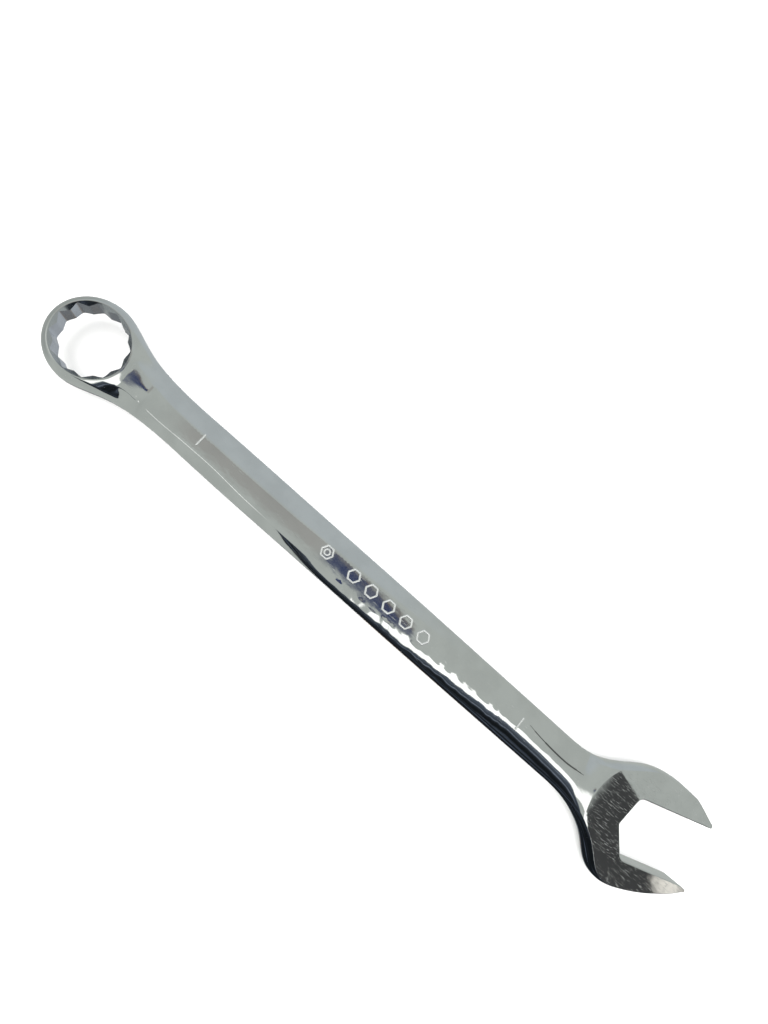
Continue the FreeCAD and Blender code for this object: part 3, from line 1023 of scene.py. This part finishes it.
def glint(graph, u, v):
    """A small warm glint inside the dark part of the room."""
    near_u, near_v = graph.sum_of((1, u), -0.812), graph.sum_of((1, v), -0.022)
    square_u, square_v = graph.math("MULTIPLY", near_u, near_u), graph.math("MULTIPLY", near_v, near_v)
    spot = graph.ramp(graph.sum_of((1, square_u), (2.0, square_v), 0.0), 0.0, 0.0022, 1, 0)
    return graph.all_of(spot, spot)


def overhead(graph, u, v):
    """What is mirrored from above, the last in front: what each part covers, and its colour."""
    person = graph.all_of(graph.within(v, 0.048, 0.15, 0.004), graph.within(u, -0.33, 0.015, 0.035))
    beyond = graph.all_of(graph.within(u, 0.62, 1.25, 0.01), graph.ramp(v, -0.40, -0.34),
                          graph.ramp(graph.sum_of((1, v), (0.3, u), 0.0), 0.302, 0.308, 1, 0))
    right = graph.all_of(graph.within(v, -0.44, 0.018, 0.012), graph.within(u, 0.13, 0.595, 0.01))
    left = graph.all_of(graph.within(v, -0.19, -0.11, 0.02), graph.within(u, -0.42, -0.12, 0.03))
    return [
        (person, PERSON_GREY),
        (beyond, DARK_ROOM),
        (graph.math("MAXIMUM", right, left), PANEL_WHITE),
        (camera_patch(graph, u, v, 0.0665), CAMERA_BROWN),
        (camera_patch(graph, u, v, 0.0620), CAMERA_BLUE),
        (glint(graph, u, v), GLINT_WARM),
    ]


def studio_surroundings(world):
    """What the chrome mirrors, and the plain pale backdrop that the camera sees in its place."""
    world.use_nodes = True
    graph = Graph(world.node_tree)
    x, y, z = graph.split(graph.nodes.new("ShaderNodeTexCoord").outputs["Generated"])
    above = graph.ramp(z, 0.05, 0.15)
    rise = graph.math("MAXIMUM", z, 0.05)
    u, v = graph.math("DIVIDE", x, rise), graph.math("DIVIDE", y, rise)
    colour = room(graph, x, y, z)
    for cover, tone in overhead(graph, u, v):
        colour = graph.mix(graph.all_of(cover, above), colour, tone)
    seen_directly = graph.nodes.new("ShaderNodeLightPath").outputs["Is Camera Ray"]
    colour = graph.mix(seen_directly, colour, PALE_BACKDROP)
    graph.links.new(colour, graph.nodes["Background"].inputs["Color"])


def wall_paint():
    """The dark wall's own glow: lighter streaks, and all of it lighter towards the top."""
    material = bpy.data.materials.new("dark_wall")
    material.use_nodes = True
    graph = Graph(material.node_tree)
    place = graph.nodes.new("ShaderNodeTexCoord").outputs["Object"]
    stretched = graph.add("ShaderNodeMapping", None, Vector=place, Scale=(2.5, 1.0, 14.0))
    noise = graph.add("ShaderNodeTexNoise", None, Vector=stretched, Scale=1.0, Detail=3.0)
    streaks = graph.ramp(noise, 0.50, 0.72)
    shader = graph.nodes["Principled BSDF"]
    shader.inputs["Base Color"].default_value = (0, 0, 0, 1)
    shader.inputs["Specular IOR Level"].default_value = 0
    shader.inputs["Emission Strength"].default_value = 1.0
    higher = graph.ramp(graph.split(place)[2], 0.25, 0.60)
    dark = graph.mix(higher, (0.008, 0.010, 0.012, 1), (0.07, 0.085, 0.11, 1))
    light = graph.mix(higher, (0.13, 0.16, 0.22, 1), (0.38, 0.42, 0.50, 1))
    graph.links.new(graph.mix(streaks, dark, light), shader.inputs["Emission Color"])
    return material


def dark_wall():
    """A dark wall beside the bench, low on the -Y side, which only the chrome mirrors."""
    corners = [(x, WALL_Y, z) for x, z in WALL_OUTLINE]
    wall = mesh_object("dark_wall", corners, [tuple(range(len(corners)))])
    wall.data.materials.append(wall_paint())
    wall.visible_camera = False
    wall.visible_diffuse = False
    wall.visible_shadow = False


def pale_floor():
    """A pale floor under the wrench, which the chrome doesn't mirror."""
    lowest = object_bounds()[0][2]
    bpy.ops.mesh.primitive_plane_add(size=FLOOR_SIZE, location=(MIDDLE_X, 0, lowest))
    floor = bpy.context.object
    floor.name = "studio_floor"
    material = bpy.data.materials.new("floor_paper")
    material.use_nodes = True
    shader = material.node_tree.nodes["Principled BSDF"]
    shader.inputs["Base Color"].default_value = FLOOR_COLOUR
    shader.inputs["Roughness"].default_value = 0.9
    floor.data.materials.append(material)
    floor.visible_glossy = False


def soft_lamp():
    """A large soft lamp above the wrench, facing down, which the chrome doesn't mirror."""
    light = bpy.data.lights.new("soft_top", "AREA")
    light.energy = LAMP_WATTS
    light.size = LAMP_SIZE
    lamp = bpy.data.objects.new("soft_top", light)
    lamp.location = (MIDDLE_X, 0, LAMP_HEIGHT)
    lamp.rotation_euler = Vector((0, 0, -LAMP_HEIGHT)).to_track_quat("-Z", "Y").to_euler()
    lamp.visible_glossy = False
    bpy.context.scene.collection.objects.link(lamp)


def camera():
    """The camera at the photograph's angle."""
    data = bpy.data.cameras.new("photo_camera")
    data.sensor_width = SENSOR_SIZE
    data.lens = FOCAL_PIXELS / IMAGE_HEIGHT * SENSOR_SIZE
    data.clip_start = 0.01
    made = bpy.data.objects.new("photo_camera", data)
    right = Vector(CAMERA_RIGHT).normalized()
    back = Vector(CAMERA_BACK).normalized()
    up = back.cross(right).normalized()
    right = up.cross(back)
    turn = Matrix((right, up, back)).transposed()
    made.matrix_world = Matrix.Translation(Vector(CAMERA_PLACE)) @ turn.to_4x4()
    bpy.context.scene.collection.objects.link(made)
    bpy.context.scene.camera = made


pale_floor()
bpy.context.scene.world = bpy.data.worlds.new("studio")
studio_surroundings(bpy.context.scene.world)
soft_lamp()
dark_wall()
camera()
bpy.context.scene.view_settings.view_transform = "Standard"
